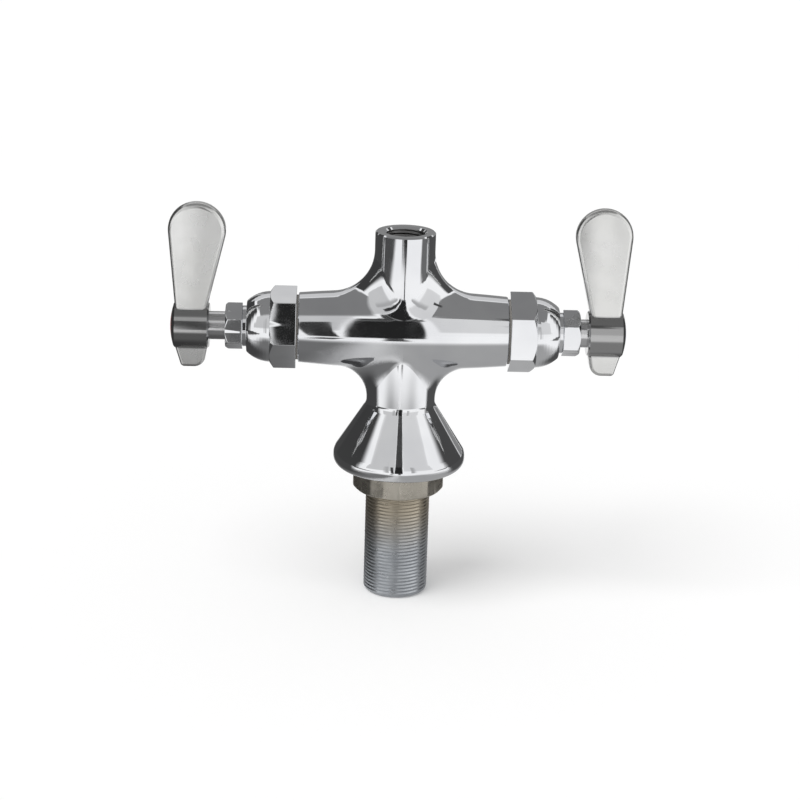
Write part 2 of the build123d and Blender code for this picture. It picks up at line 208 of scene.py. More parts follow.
def sharp_hub_with_painted_shade(material, painted_shade_hex, gloss):
    """Sharper plate near the stem's axis, with its colour painted darker as painted shade. The axis runs
    along X at the height of the arms.
    """
    tree = material.node_tree
    shader = tree.nodes["Principled BSDF"]
    place = tree.nodes["Texture Coordinate"].outputs["Object"]
    off_axis = add(tree, "ShaderNodeVectorMath", {1: (0, 0, arm_axis * MM)}, {0: place},
                   operation="SUBTRACT").outputs[0]
    across = add(tree, "ShaderNodeVectorMath", {1: (0, 1, 1)}, {0: off_axis},
                 operation="MULTIPLY").outputs[0]
    distance = add(tree, "ShaderNodeVectorMath", links={0: across}, operation="LENGTH").outputs["Value"]
    inner = (hub_radius - hub_blend) * MM
    outer = (hub_radius + hub_blend) * MM
    on_hub = spread(tree, distance, 1, 0, inner, outer)
    base = shader.inputs["Base Color"]
    # painted shade: on the hub the base colour turns to the darker tone
    tree.links.new(two_tone(tree, on_hub, base.links[0].from_socket, painted_shade_hex), base)
    rough = shader.inputs["Roughness"]
    sharper = add(tree, "ShaderNodeMix", {3: gloss}, {0: on_hub, 2: rough.links[0].from_socket})
    tree.links.new(sharper.outputs[0], rough)


# B4B4B4 is painted shade darkening the hub's colour; only its sharper gloss is real
sharp_hub_with_painted_shade(chrome_lever, "#B4B4B4", gloss=0.12)
print(f"hubs within {hub_radius} mm of the axis, which is {arm_axis:.1f} mm up")

# %% [markdown]
# ## Nickel, brass and steel
# The shank and its nut are turned and threaded brass with a dull nickel plate, which nobody buffs, so it
# is rougher than chrome. Near the nut the brass shows through the thin plate and warms it. The parts
# inside are bare brass or stainless steel, and they show the fine rings that a lathe's tool leaves round
# the axis that they turn on.

# %% Plain metals
def turned_metal(name, colour_a, colour_b, gloss, grain_mm, grain_depth_mm, stretch):
    """Unpolished metal: fine tool marks, drawn out along the axes where stretch is small."""
    material, tree, shader, place = start_material(name, 1.0, gloss[0])
    tone = spread(tree, speckle(tree, place, size_mm=8, detail=3.0), 0, 1)
    tree.links.new(two_tone(tree, tone, colour_a, colour_b), shader.inputs["Base Color"])
    haze = speckle(tree, place, size_mm=3, detail=4.0)
    tree.links.new(spread(tree, haze, *gloss), shader.inputs["Roughness"])
    relief(tree, shader, speckle(tree, place, grain_mm, detail=1.0, stretch=stretch), grain_depth_mm)
    return material


round_the_shank = (0.15, 0.15, 1)
round_the_arm = (1, 0.15, 0.15)
# Threaded and plated without polish: a cool grey with broad soft highlights.
shank_plate = turned_metal("Dull_nickel_shank", "#C9CDD2", "#B7BBC0", gloss=(0.26, 0.38),
                           grain_mm=0.8, grain_depth_mm=0.01, stretch=round_the_shank)
# The same plate, thinner: the brass below warms it.
nut_plate = turned_metal("Dull_nickel_nut", "#DAD4C8", "#CAC4B8", gloss=(0.24, 0.36),
                         grain_mm=0.8, grain_depth_mm=0.01, stretch=round_the_shank)
# Fresh from the lathe: yellow, bright, with fine rings.
plain_brass = turned_metal("Turned_brass", "#D3AE62", "#BE9850", gloss=(0.18, 0.30),
                           grain_mm=0.6, grain_depth_mm=0.01, stretch=round_the_arm)
# Harder and greyer than chrome, with the same fine rings.
screw_steel = turned_metal("Turned_stainless_steel", "#B9B9B6", "#A5A5A3", gloss=(0.2, 0.32),
                           grain_mm=0.6, grain_depth_mm=0.01, stretch=round_the_arm)
print("plain metals:", shank_plate.name, nut_plate.name, plain_brass.name, screw_steel.name)

# %% Brass showing through the plate at the top of the shank
def warm_top(material, warm_hex, warm_above_mm, cool_below_mm):
    """Tints a metal towards a warm colour above one height, fading out at a lower one."""
    tree = material.node_tree
    base = tree.nodes["Principled BSDF"].inputs["Base Color"]
    place = tree.nodes["Texture Coordinate"].outputs["Object"]
    height = add(tree, "ShaderNodeSeparateXYZ", links={0: place}).outputs["Z"]
    warmth = spread(tree, height, 0, 1, cool_below_mm * MM, warm_above_mm * MM)
    tree.links.new(two_tone(tree, warmth, base.links[0].from_socket, warm_hex), base)


warm_top(shank_plate, "#C2B8A6", warm_above_mm=-14, cool_below_mm=-36)
print("the shank turns from warm to cool between 14 and 36 mm below the deck")

# %% [markdown]
# ## Soft and coloured parts
# Rubber, vulcanised fibre, the white packing and the two coloured buttons are moulded or cut, not metal.
# Each gets its own colour pair, a grain at the size of its real texture, and a roughness to match.

# %% Rubber, fibre, packing and plastic
def moulded(name, colour_a, colour_b, gloss, grain_mm, grain_depth_mm):
    """A material that isn't metal, with a fine even grain."""
    material, tree, shader, place = start_material(name, 0.0, gloss[0])
    tone = spread(tree, speckle(tree, place, size_mm=4, detail=3.0), 0, 1)
    tree.links.new(two_tone(tree, tone, colour_a, colour_b), shader.inputs["Base Color"])
    haze = speckle(tree, place, size_mm=2, detail=3.0)
    tree.links.new(spread(tree, haze, *gloss), shader.inputs["Roughness"])
    relief(tree, shader, speckle(tree, place, grain_mm), grain_depth_mm)
    return material


# Moulded under pressure: near black and matt.
rubber = moulded("Black_nitrile_rubber", "#1E1E1E", "#2A2A29", gloss=(0.55, 0.7),
                 grain_mm=0.3, grain_depth_mm=0.02)
# Pressed from layers of paper and punched: dull, like hard card. It is grey and not the common reddish
# brown, because the photograph shows no brown line between bonnet and arm.
fibre = moulded("Vulcanised_fibre", "#96938E", "#8A8782", gloss=(0.6, 0.75),
                grain_mm=0.2, grain_depth_mm=0.02)
# Cut from sheet: waxy white.
packing = moulded("White_PTFE_packing", "#E4E4DF", "#D8D8D2", gloss=(0.4, 0.5),
                  grain_mm=0.3, grain_depth_mm=0.01)
# Injection moulded: even colour with a small clear highlight.
button_red = moulded("Red_ABS_button", "#B3201E", "#A81B1A", gloss=(0.22, 0.3),
                     grain_mm=0.5, grain_depth_mm=0.004)
button_blue = moulded("Blue_ABS_button", "#1F4FA3", "#1B4794", gloss=(0.22, 0.3),
                      grain_mm=0.5, grain_depth_mm=0.004)
print("moulded and cut:", rubber.name, fibre.name, packing.name, button_red.name, button_blue.name)

# %% [markdown]
# ## Dressing the model
# The model's record says which finish each node wears. A node from the CAD model keeps its mesh and its
# place, and only its material changes, so a loop over the record dresses all thirty of them.

# %% Which finish belongs to which slot
finish_of_slot = {
    "chrome_body": chrome_body,
    "chrome_lever": chrome_lever,
    "chrome_stem": chrome_stem,
    "shank_plate": shank_plate,
    "nut_plate": nut_plate,
    "plain_brass": plain_brass,
    "screw_steel": screw_steel,
    "rubber": rubber,
    "fibre": fibre,
    "packing": packing,
    "button_red": button_red,
    "button_blue": button_blue,
}
print("finishes:", len(finish_of_slot))

# %% Give every CAD node the finish of its slot
for part in frame["record"]["subparts"]:
    slots = frame["nodes"][part["node"]].data.materials
    slots.clear()
    slots.append(finish_of_slot[part["material_slot"]])
print("dressed:", ", ".join(sorted(frame["nodes"])[:4]), "and the rest")

# %% [markdown]
# ## Nuts with worked edges
# A hexagon nut is a bar with flats, turned on a lathe so that its corners are cut off at a slant. No real
# edge is a perfect line: each has a tiny radius that catches light. Beveling a boolean model often breaks
# where the slant runs out in the middle of a flat, so the nuts are made by rule instead. At every angle
# round the axis, a closed outline says where the metal is, its corners are rounded, and neighbouring
# outlines are joined by quads.

# %% Outlines and their corners
def rounded(outline, radius, steps=3):
    """A closed outline with each corner replaced by a small curve, never longer than the sides allow."""
    share_of_side = 0.45
    tiny = 1e-9
    outline = [np.array(point, dtype=float) for point in outline]
    points = []
    for i, corner in enumerate(outline):
        before = outline[i - 1] - corner
        after = outline[(i + 1) % len(outline)] - corner
        length_before = np.linalg.norm(before)
        length_after = np.linalg.norm(after)
        reach = min(radius, share_of_side * length_before, share_of_side * length_after)
        start = corner + before / max(length_before, tiny) * reach
        end = corner + after / max(length_after, tiny) * reach
        for t in np.linspace(0, 1, steps + 1):
            points.append((1 - t) ** 2 * start + 2 * t * (1 - t) * corner + t ** 2 * end)
    return points


def arc_through(start, middle, end, steps):
    """Points on the circle through three points, from the first to the last."""
    (ax, ay), (bx, by), (cx, cy) = start, middle, end
    a, b, c = ax ** 2 + ay ** 2, bx ** 2 + by ** 2, cx ** 2 + cy ** 2
    double_area = 2 * (ax * (by - cy) + bx * (cy - ay) + cx * (ay - by))
    centre_x = (a * (by - cy) + b * (cy - ay) + c * (ay - by)) / double_area
    centre_y = (a * (cx - bx) + b * (ax - cx) + c * (bx - ax)) / double_area
    radius = hypot(ax - centre_x, ay - centre_y)
    first = atan2(ay - centre_y, ax - centre_x)
    last = atan2(cy - centre_y, cx - centre_x)
    turns = np.linspace(first, last, steps + 1)
    return [(centre_x + radius * cos(t), centre_y + radius * sin(t)) for t in turns]


print("a square with rounded corners has", len(rounded([(0, 0), (1, 0), (1, 1), (0, 1)], 0.1)), "points")

# %% Hexagons with rounded corners
def hexagon_angles(flat, corner_round, flat_steps=12, corner_steps=5):
    """Angles round a hexagon, close together at its rounded corners."""
    tangent = atan((flat - corner_round) * tan(pi / 6) / flat)
    across = np.linspace(-tangent, tangent, flat_steps + 1)
    bend = np.linspace(tangent, pi / 3 - tangent, corner_steps + 1)[1:-1]
    return [side * pi / 3 + a for side in range(6) for a in (*across, *bend)]


def hexagon_radius(angle, flat, corner_round):
    """Distance from the axis to the side of a hexagon with rounded corners, flats at 0, 60, 120 degrees."""
    off_flat = (angle + pi / 6) % (pi / 3) - pi / 6
    tangent = atan((flat - corner_round) * tan(pi / 6) / flat)
    if abs(off_flat) <= tangent:
        return flat / cos(off_flat)
    centre = (flat - corner_round) / cos(pi / 6)
    off_corner = pi / 6 - abs(off_flat)
    return centre * cos(off_corner) + sqrt(max(0, corner_round ** 2 - (centre * sin(off_corner)) ** 2))


print("corner of a 28 mm hexagon:", round(hexagon_radius(pi / 6, 14, 0.4), 2), "mm")

# %% From outlines to meshes
weld = 0.001  # points nearer than this, in mm, become one


def tidy_object(name, mesh):
    """An object for a mesh: doubles merged, normals outward, smooth shading."""
    shape = bmesh.new()
    shape.from_mesh(mesh)
    bmesh.ops.remove_doubles(shape, verts=shape.verts, dist=weld * MM)
    bmesh.ops.recalc_face_normals(shape, faces=shape.faces)
    shape.to_mesh(mesh)
    shape.free()
    mesh.polygons.foreach_set("use_smooth", [True] * len(mesh.polygons))
    piece = bpy.data.objects.new(name, mesh)
    scene.collection.objects.link(piece)
    return piece


def round_axis(name, outline_at, angles, to_frame):
    """A closed mesh from one closed outline of (along the axis, radius) at each angle."""
    columns = [[to_frame(x, r * cos(a), r * sin(a)) for x, r in outline_at(a)] for a in angles]
    count = len(columns[0])
    faces = []
    for i in range(len(columns)):
        here, there = i * count, (i + 1) % len(columns) * count
        for j in range(count):
            k = (j + 1) % count
            faces.append((here + j, here + k, there + k, there + j))
    mesh = bpy.data.meshes.new(name)
    mesh.from_pydata([p * MM for column in columns for p in column], [], faces)
    return tidy_object(name, mesh)


print("points are welded within", weld, "mm")

# %% [markdown]
# A finished piece takes the place of its plain solid: it rides on the same body, wears the same slot's
# finish, and the solid is left out of the picture. On a nut, the small rounds would pull the shading of
# the flats with them, so each vertex takes the direction of its largest face.

# %% Putting a piece in a node's place
def even_normals(piece):
    """Lets the largest faces decide how the surface is shaded."""
    modifier = piece.modifiers.new("even_normals", "WEIGHTED_NORMAL")
    modifier.weight = 100


def stand_in(piece, node, body, slot):
    """The piece takes the place of a CAD node, on its body and in its finish."""
    piece.data.materials.clear()
    piece.data.materials.append(finish_of_slot[slot])
    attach(piece, body)
    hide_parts(node)
    print(f"{piece.name}: {len(piece.data.polygons)} faces, replaces {node}")


side_of = {"right": 1, "left": -1}
print("the arms point along X:", side_of)

# %% [markdown]
# ## The bonnets
# A bonnet screws into the arm's end and closes the valve. It has a hexagon for the spanner, then a dome
# that runs down to a neck with the thread for the packing nut. It is turned from one bar, so one outline
# does it all, and only the hexagon's stretch changes with the angle. A bonnet is screwed home until it
# seals, not until its flats are level, so each of the two leans by its own angle.

# %% Sizes of the bonnets, with the ends taken from the model
bonnet_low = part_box("right_bonnet")[0].x / MM
bonnet_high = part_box("right_bonnet")[1].x / MM
washer_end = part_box("right_bonnet_washer")[1].x / MM
nut_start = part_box("right_packing_nut")[0].x / MM
nut_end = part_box("right_packing_nut")[1].x / MM
hexagon_flat = 27.9 / 2
hexagon_length = 10.1
hexagon_slant = radians(35)
hexagon_end = washer_end + hexagon_length
dome_start = (hexagon_end, 13.75)  # place along the arm, and radius
dome_middle = (hexagon_end + 5.0, 12.65)
dome_end = (hexagon_end + 9.1, 9.9)
neck_radius = 7.9
tail_radius = 10.4
chamber_bore = 7.05
stem_bore = 5.5
packing_thread = 7.0
bore_step = 46.57  # where the bonnet's bore narrows to guide the stem
edge_round = 0.25
corner_round = 0.4
bonnet_lean = {"right": 3, "left": 20}  # degrees that the top corner leans back, as in the photograph
print(f"the bonnet reaches from {bonnet_low:.2f} to {bonnet_high:.2f} mm along the arm")

# %% The bonnets
def bonnet_outline(angle):
    """The bonnet's section on one side of its axis."""
    corner = hexagon_radius(angle, hexagon_flat, corner_round)
    run = (corner - hexagon_flat) * tan(hexagon_slant)
    return rounded([
        (bonnet_low, chamber_bore),
        (bonnet_low, tail_radius),
        (washer_end, tail_radius),
        (washer_end, corner),
        (hexagon_end - run, corner),
        (hexagon_end, hexagon_flat),
        *arc_through(dome_start, dome_middle, dome_end, steps=8),
        (dome_end[0], neck_radius),
        (nut_start, neck_radius),
        (nut_start, packing_thread),
        (bonnet_high, packing_thread),
        (bonnet_high, stem_bore),
        (bore_step, stem_bore),
        (bore_step, chamber_bore),
    ], edge_round)


def on_arm(side, lean=0.0):
    """Places a point of an outline on the right arm (side 1) or the left one (-1), leant back by degrees."""
    c, s = cos(radians(lean)), sin(radians(lean))
    return lambda x, front, up: Vector((side * x, up * s - front * c, arm_axis + front * s + up * c))


for side_name, side in side_of.items():
    angles = hexagon_angles(hexagon_flat, corner_round)
    place_on_arm = on_arm(side, bonnet_lean[side_name])
    bonnet = round_axis(f"{side_name}_bonnet_worked", bonnet_outline, angles, place_on_arm)
    even_normals(bonnet)
    stand_in(bonnet, f"{side_name}_bonnet", "body", "chrome_body")

# %% [markdown]
# ## The packing nuts and the lock nut
# The packing nut is a small hexagon, crowned at its outer end only. The lock nut below the flange is a
# large thin one, crowned on both faces, and its corners are turned off to a circle.

# %% The packing nuts
nut_flat = 16.3 / 2
crown = radians(40)
web = 1.2
running_clearance = 0.05
web_start = nut_end - web
thread_bore = packing_thread + running_clearance


def packing_nut_outline(angle):
    """The packing nut's section: threaded bore, then a web that holds the packing in."""
    corner = hexagon_radius(angle, nut_flat, corner_round)
    run = (corner - nut_flat) * tan(crown)
    return rounded([
        (nut_start, thread_bore),
        (nut_start, corner),
        (nut_end - run, corner),
        (nut_end, nut_flat),
        (nut_end, stem_bore),
        (web_start, stem_bore),
        (web_start, thread_bore),
    ], edge_round)


for side_name, side in side_of.items():
    angles = hexagon_angles(nut_flat, corner_round)
    nut = round_axis(f"{side_name}_packing_nut_worked", packing_nut_outline, angles, on_arm(side))
    even_normals(nut)
    stand_in(nut, f"{side_name}_packing_nut", "body", "chrome_body")

# %% The lock nut
lock_top = -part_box("lock_nut")[1].z / MM
lock_end = -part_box("lock_nut")[0].z / MM
lock_flat = 33.5 / 2
lock_corner = 17.9
lock_bore = 12.75
lock_slant = radians(30)
lock_edge_round = 0.5


def lock_nut_outline(angle):
    """The lock nut's section, measured down the shank."""
    corner = min(hexagon_radius(angle, lock_flat, corner_round), lock_corner)
    run = (corner - lock_flat) * tan(lock_slant)
    return rounded([
        (lock_top, lock_bore),
        (lock_top, lock_flat),
        (lock_top + run, corner),
        (lock_end - run, corner),
        (lock_end, lock_flat),
        (lock_end, lock_bore),
    ], lock_edge_round)


def below_deck(down, front, across):
    """Places a point of an outline round the shank, measured down from the deck."""
    return Vector((across, -front, -down))


angles = hexagon_angles(lock_flat, corner_round, flat_steps=24)
lock_nut = round_axis("lock_nut_worked", lock_nut_outline, angles, below_deck)
even_normals(lock_nut)
stand_in(lock_nut, "lock_nut", "body", "nut_plate")

# %% [markdown]
# ## Threads by rule
# A screw thread is one ridge that climbs by its pitch in each turn. Geometry Nodes make it from a flat
# grid: one direction of the grid goes round the axis and the other along it, and the radius rises and
# falls with the distance to the ridge. The first and last rows go to the back radius, which closes the
# end of a rod or the rim of a sleeve. A texture bump would be cheaper, but the ridges show in outline.

# %% The inputs of the thread's tree
thread_inputs = {
    "Root radius": "NodeSocketFloat",
    "Height": "NodeSocketFloat",
    "Pitch": "NodeSocketFloat",
    "Start": "NodeSocketFloat",
    "Length": "NodeSocketFloat",
    "Run-out": "NodeSocketFloat",
    "Chamfer": "NodeSocketFloat",
    "Back radius": "NodeSocketFloat",
    "Around": "NodeSocketInt",
    "Rings": "NodeSocketInt",
    "Material": "NodeSocketMaterial",
}
thread = bpy.data.node_groups.new("screw_thread", "GeometryNodeTree")
for name, kind in thread_inputs.items():
    thread.interface.new_socket(name, in_out="INPUT", socket_type=kind)
thread.interface.new_socket("Mesh", in_out="OUTPUT", socket_type="NodeSocketGeometry")
given = add(thread, "NodeGroupInput").outputs
print("inputs:", ", ".join(thread_inputs))

# %% A grid, and how far each of its points is round the axis and along it
# The ridge takes one row more than there are rings, and each end has one row for the back.
columns = add(thread, "ShaderNodeMath", {1: 1}, {0: given["Around"]}, operation="ADD")
rows = add(thread, "ShaderNodeMath", {1: 3}, {0: given["Rings"]}, operation="ADD")
steps = add(thread, "ShaderNodeMath", {1: 2}, {0: given["Rings"]}, operation="ADD").outputs[0]
last = add(thread, "ShaderNodeMath", {1: 1}, {0: given["Rings"]}, operation="ADD").outputs[0]
grid = add(thread, "GeometryNodeMeshGrid", {"Size X": 1, "Size Y": 1},
           {"Vertices X": columns.outputs[0], "Vertices Y": rows.outputs[0]})
position = add(thread, "GeometryNodeInputPosition").outputs[0]
place = add(thread, "ShaderNodeSeparateXYZ", links={0: position})
around = add(thread, "ShaderNodeMath", {1: 0.5}, {0: place.outputs["X"]}, operation="ADD").outputs[0]
share = add(thread, "ShaderNodeMath", {1: 0.5}, {0: place.outputs["Y"]}, operation="ADD").outputs[0]
row = add(thread, "ShaderNodeMath", links={0: share, 1: steps}, operation="MULTIPLY").outputs[0]
depth = add(thread, "ShaderNodeMapRange", {"From Min": 1, "To Min": 0},
            {"Value": row, "From Max": last, "To Max": given["Length"]}).outputs[0]
height = add(thread, "ShaderNodeMath", links={0: given["Start"], 1: depth}, operation="SUBTRACT").outputs[0]
print("nodes that place the grid:", len(thread.nodes))

# %% The ridge, which fades out at both ends
root_until = 0.1  # up to this share of the way from root to crest the ridge stays at its root
crest_from = 0.9  # and from this share on it stays at its crest
turns = add(thread, "ShaderNodeMath", links={0: height, 1: given["Pitch"]}, operation="DIVIDE").outputs[0]
off_ridge = add(thread, "ShaderNodeMath", links={0: turns, 1: around}, operation="SUBTRACT").outputs[0]
phase = add(thread, "ShaderNodeMath", links={0: off_ridge}, operation="FRACT").outputs[0]
zigzag = add(thread, "ShaderNodeMath", {1: 2, 2: -1}, {0: phase}, operation="MULTIPLY_ADD").outputs[0]
folded = add(thread, "ShaderNodeMath", links={0: zigzag}, operation="ABSOLUTE").outputs[0]
ridge = add(thread, "ShaderNodeMapRange", {"From Min": root_until, "From Max": crest_from, "To Min": 0},
            {"Value": folded, "To Max": given["Height"]}, interpolation_type="SMOOTHSTEP").outputs[0]
rest = add(thread, "ShaderNodeMath", links={0: given["Length"], 1: depth}, operation="SUBTRACT").outputs[0]
nearer = add(thread, "ShaderNodeMath", links={0: depth, 1: rest}, operation="MINIMUM").outputs[0]
fade = add(thread, "ShaderNodeMapRange", links={"Value": nearer, "From Max": given["Run-out"]}).outputs[0]
raised = add(thread, "ShaderNodeMath", links={0: ridge, 1: fade, 2: given["Root radius"]},
             operation="MULTIPLY_ADD").outputs[0]
short = add(thread, "ShaderNodeMath", links={0: given["Chamfer"], 1: rest}, operation="SUBTRACT").outputs[0]
bevel = add(thread, "ShaderNodeMath", {1: 0}, {0: short}, operation="MAXIMUM").outputs[0]
radius = add(thread, "ShaderNodeMath", links={0: raised, 1: bevel}, operation="SUBTRACT").outputs[0]
print("with the ridge:", len(thread.nodes))

# %% The back rows, and every point in its place
half_row = add(thread, "ShaderNodeMath", {0: 0.5}, {1: steps}, operation="DIVIDE").outputs[0]
limit = add(thread, "ShaderNodeMath", {0: 0.5}, {1: half_row}, operation="SUBTRACT").outputs[0]
off_middle = add(thread, "ShaderNodeMath", links={0: place.outputs["Y"]}, operation="ABSOLUTE").outputs[0]
is_back = add(thread, "ShaderNodeMath", links={0: off_middle, 1: limit}, operation="GREATER_THAN").outputs[0]
final = add(thread, "ShaderNodeMix", links={0: is_back, 2: radius, 3: given["Back radius"]}).outputs[0]
angle = add(thread, "ShaderNodeMath", {1: 2 * pi}, {0: around}, operation="MULTIPLY").outputs[0]
cosine = add(thread, "ShaderNodeMath", links={0: angle}, operation="COSINE").outputs[0]
sine = add(thread, "ShaderNodeMath", links={0: angle}, operation="SINE").outputs[0]
x = add(thread, "ShaderNodeMath", links={0: final, 1: cosine}, operation="MULTIPLY").outputs[0]
y = add(thread, "ShaderNodeMath", links={0: final, 1: sine}, operation="MULTIPLY").outputs[0]
spot = add(thread, "ShaderNodeCombineXYZ", links={0: x, 1: y, 2: height}).outputs[0]
wound = add(thread, "GeometryNodeSetPosition", links={"Geometry": grid.outputs["Mesh"], "Position": spot})
closed = add(thread, "GeometryNodeMergeByDistance", {"Distance": weld * MM},
             {"Geometry": wound.outputs[0]})
real = add(thread, "GeometryNodeRealizeInstances", links={"Geometry": closed.outputs[0]})
painted = add(thread, "GeometryNodeSetMaterial",
              links={"Geometry": real.outputs[0], "Material": given["Material"]})
add(thread, "NodeGroupOutput", links={0: painted.outputs[0]})
print("nodes in the thread's tree:", len(thread.nodes))

# %% A thread as a plain mesh
def cut_thread(name, **sizes):
    """Runs the tree once with sizes in millimetres, and gives its mesh."""
    carrier = bpy.data.objects.new(name, bpy.data.meshes.new(name))
    scene.collection.objects.link(carrier)
    modifier = carrier.modifiers.new("thread", "NODES")
    modifier.node_group = thread
    for item in thread.interface.items_tree:
        if item.in_out == "INPUT":
            value = sizes[item.name.lower().replace(" ", "_").replace("-", "_")]
            modifier[item.identifier] = value * MM if item.socket_type == "NodeSocketFloat" else value
    whole = carrier.evaluated_get(bpy.context.evaluated_depsgraph_get())
    mesh = bpy.data.meshes.new_from_object(whole)
    bpy.data.objects.remove(carrier)
    return mesh


inch = 25.4
threads_per_inch = 18
pitch = inch / threads_per_inch
print(f"both threads climb {pitch:.3f} mm a turn")

# %% [markdown]
# ## The shank
# The shank is a one-inch brass bar, threaded all along with 18 turns to the inch, which is fine enough
# that the photograph shows only streaks. The ridge is cut shallower than a real one of this pitch, so that
# its rings stay faint. Two ways are bored up the bar, each widened at its foot for a hose. The bores don't
# follow the thread's rule, so they are cut with a boolean.

# %% The threaded bar
shank_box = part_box("shank")
shank_radius = shank_box[1].x / MM
shank_top = shank_box[1].z / MM
shank_foot = shank_box[0].z / MM
thread_depth = 0.32

bar_mesh = cut_thread(
    "shank_threaded", root_radius=shank_radius - thread_depth, height=thread_depth, pitch=pitch,
    start=shank_top, length=shank_top - shank_foot, run_out=1.5, chamfer=0.8, back_radius=0.0,
    around=96, rings=368, material=shank_plate)
bar = tidy_object("shank_threaded", bar_mesh)
print(f"bar: {2 * shank_radius:.1f} mm across and {shank_top - shank_foot:.1f} mm long")

# %% The two ways and their inlets
inlet_radius = 4.5
inlet_depth = 12.0
way_radius = 3.25
way_offset = 6.5
overshoot = 5.0  # the drill passes both ends of the bar
drill_angles = np.linspace(0, 2 * pi, 48, endpoint=False)


def way_outline(_angle):
    """The drill's path: a wide foot and a narrow way, both longer than the shank."""
    return [
        (shank_foot - overshoot, 0),
        (shank_foot - overshoot, inlet_radius),
        (shank_foot + inlet_depth, inlet_radius),
        (shank_foot + inlet_depth, way_radius),
        (shank_top + overshoot, way_radius),
        (shank_top + overshoot, 0),
    ]


for side in (-1, 1):
    drill = round_axis("drill", way_outline, drill_angles,
                       lambda up, u, v: Vector((side * way_offset + u, v, up)))
    cut = bar.modifiers.new("way", "BOOLEAN")
    cut.operation = "DIFFERENCE"
    cut.solver = "EXACT"
    cut.object = drill
    whole = bar.evaluated_get(bpy.context.evaluated_depsgraph_get())
    bored = bpy.data.meshes.new_from_object(whole)
    bar.modifiers.remove(cut)
    bar.data = bored
    bpy.data.objects.remove(drill)
bar_sharp_angle = radians(50)
bar.data.polygons.foreach_set("use_smooth", [True] * len(bar.data.polygons))
bar.data.set_sharp_from_angle(angle=bar_sharp_angle)
stand_in(bar, "shank", "body", "shank_plate")

# %% [markdown]
# ## The outlet's thread
# A spout screws into the socket on top. Its thread runs inside the bore, so here it is a thin sleeve with
# its ridge pointing inwards: the height is negative, and the back radius is the bore's own.

# %% The thread inside the outlet
outlet = next(m for m in frame["record"]["mounts"] if m["name"] == "spout_outlet")
outlet_radius = outlet["dims"]["r_mm"]
outlet_length = outlet["dims"]["length_mm"]
outlet_top = outlet["pos_m"][2] / MM + outlet_length / 2
outlet_ridge = 0.45
sleeve_wall = 0.05
sleeve_gap = 0.005  # keeps the sleeve's back off the wall of the bore
sleeve_sharp_angle = radians(60)
sleeve_mesh = cut_thread(
    "outlet_thread", root_radius=outlet_radius - sleeve_wall, height=-outlet_ridge, pitch=pitch,
    start=outlet_top, length=outlet_length, run_out=1.0, chamfer=0.0,
    back_radius=outlet_radius - sleeve_gap, around=72, rings=80, material=thread_chrome_with_painted_shade)
shape = bmesh.new()
shape.from_mesh(sleeve_mesh)
bmesh.ops.bridge_loops(shape, edges=[e for e in shape.edges if e.is_boundary])
shape.to_mesh(sleeve_mesh)
shape.free()
sleeve = tidy_object("outlet_thread", sleeve_mesh)
sleeve.data.set_sharp_from_angle(angle=sleeve_sharp_angle)
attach(sleeve, "body")
print(f"outlet thread: {len(sleeve.data.polygons)} faces, top at {outlet_top:.1f} mm")

# %% [markdown]
# ## A small studio
# The photograph shows the tap on pure white. The floor and the world are white to the camera and to
# reflections, and light the object at a plain level. A sun with a wide disc gives the same light at every
# point of the floor, so the floor stays even, and its shadow under the tap is soft.

# %% Flat pieces of the studio, and which rays see its white
def stage_quad(name, corners, material):
    """A flat four-cornered piece of the studio, with UV coordinates from 0 to 1."""
    mesh = bpy.data.meshes.new(name)
    mesh.from_pydata([Vector(c) * MM for c in corners], [], [(0, 1, 2, 3)])
    mesh.uv_layers.new(name="card").uv.foreach_set("vector", (0, 0, 1, 0, 1, 1, 0, 1))
    mesh.materials.append(material)
    quad = bpy.data.objects.new(name, mesh)
    scene.collection.objects.link(quad)
    return quad


def camera_or_mirror(tree):
    """1 for rays from the camera and rays off or through a shiny surface."""
    path = add(tree, "ShaderNodeLightPath")
    first = add(tree, "ShaderNodeMath", operation="MAXIMUM",
                links={0: path.outputs["Is Camera Ray"], 1: path.outputs["Is Glossy Ray"]})
    return add(tree, "ShaderNodeMath", operation="MAXIMUM",
               links={0: first.outputs[0], 1: path.outputs["Is Transmission Ray"]}).outputs[0]


floor_gap = 0.2  # keeps the paper just clear of the shank's foot
floor_height = shank_foot - floor_gap
print("floor at", round(floor_height, 2), "mm")

# %% The paper floor
half_floor = 4000
paper_lift = 0.13  # the light it seems to give, just enough to bring lit paper up to white
floor_material = bpy.data.materials.new("Studio_paper")
floor_material.use_nodes = True
tree = floor_material.node_tree
paper = tree.nodes["Principled BSDF"]
paper.inputs["Base Color"].default_value = linear("#F2F2F2")
paper.inputs["Roughness"].default_value = 0.9
paper.inputs["Specular IOR Level"].default_value = 0.1
lift = add(tree, "ShaderNodeMath", {1: paper_lift}, {0: camera_or_mirror(tree)}, operation="MULTIPLY")
paper.inputs["Emission Color"].default_value = linear("#FFFFFF")
tree.links.new(lift.outputs[0], paper.inputs["Emission Strength"])
signs = ((-1, -1), (1, -1), (1, 1), (-1, 1))
floor_corners = [(x_sign * half_floor, y_sign * half_floor, floor_height) for x_sign, y_sign in signs]
stage_quad("floor", floor_corners, floor_material)
print("floor:", 2 * half_floor / 1000, "m square")

# %% The white world and a wide sun
world = bpy.data.worlds.new("studio")
scene.world = world
world.use_nodes = True
tree = world.node_tree
plain_level = 0.6  # how strongly the world lights, while it shows itself as full white
level = add(tree, "ShaderNodeMapRange", {"To Min": plain_level, "To Max": 1.0},
            {"Value": camera_or_mirror(tree)})
tree.nodes["Background"].inputs["Color"].default_value = linear("#FFFFFF")
tree.links.new(level.outputs[0], tree.nodes["Background"].inputs["Strength"])

